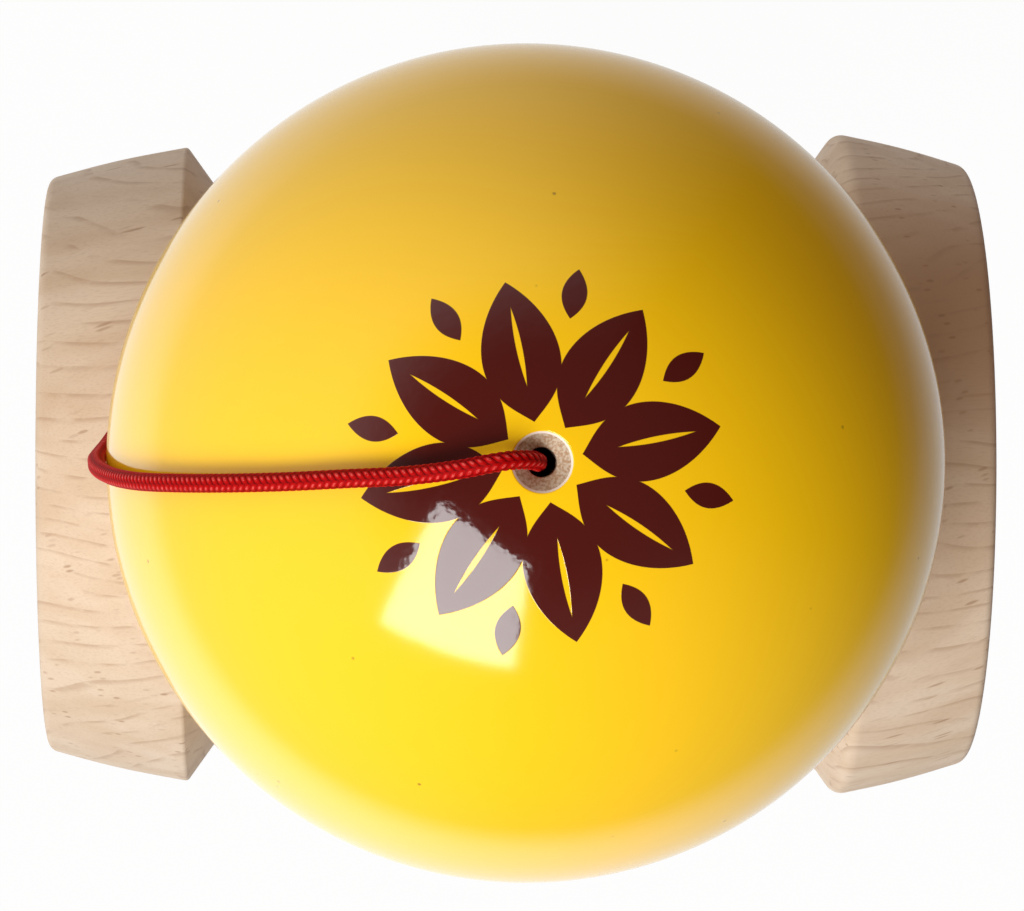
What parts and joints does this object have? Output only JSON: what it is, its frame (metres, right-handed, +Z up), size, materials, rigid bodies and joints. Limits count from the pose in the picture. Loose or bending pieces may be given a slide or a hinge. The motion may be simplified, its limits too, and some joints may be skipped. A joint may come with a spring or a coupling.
{
  "type": "cup and ball toy",
  "caption": "Turned wooden cup and ball toy: a spiked handle with a base cup, a crosspiece with a cup at each end, and a painted ball on a braided string.",
  "frame": {"origin": "middle of the base cup's rim, on the surface that the toy stands on", "axes": "+Z up the handle, +X to the big cup, +Y to the side that the string is tied on"},
  "size_m": [0.0724, 0.06, 0.184],
  "materials": {
    "handle_wood": "sanded beech",
    "cup_wood": "sanded beech",
    "ball_lacquer": "glossy yellow lacquer over beech",
    "bead_wood": "plain turned wood",
    "red_string": "braided polyester cord"
  },
  "bodies": {
    "handle": {"handle_spike": "handle_wood", "cup_crosspiece": "cup_wood", "string_tie": "red_string", "string_free": "red_string"},
    "string_end": {"string_in_ball": "red_string", "stop_bead": "bead_wood"},
    "ball": {"ball": "ball_lacquer"}
  },
  "joints": [
    {"name": "ball_lift", "type": "slide", "parent": "handle", "child": "string_end", "axis": [0, 0, 1], "range_m": [0, 0.05], "deforming": ["string_free"]},
    {"name": "ball_spin", "type": "hinge", "parent": "string_end", "child": "ball", "pos_m": [0, 0, 0.152], "axis": [0, 0, 1], "continuous": true}
  ]
}
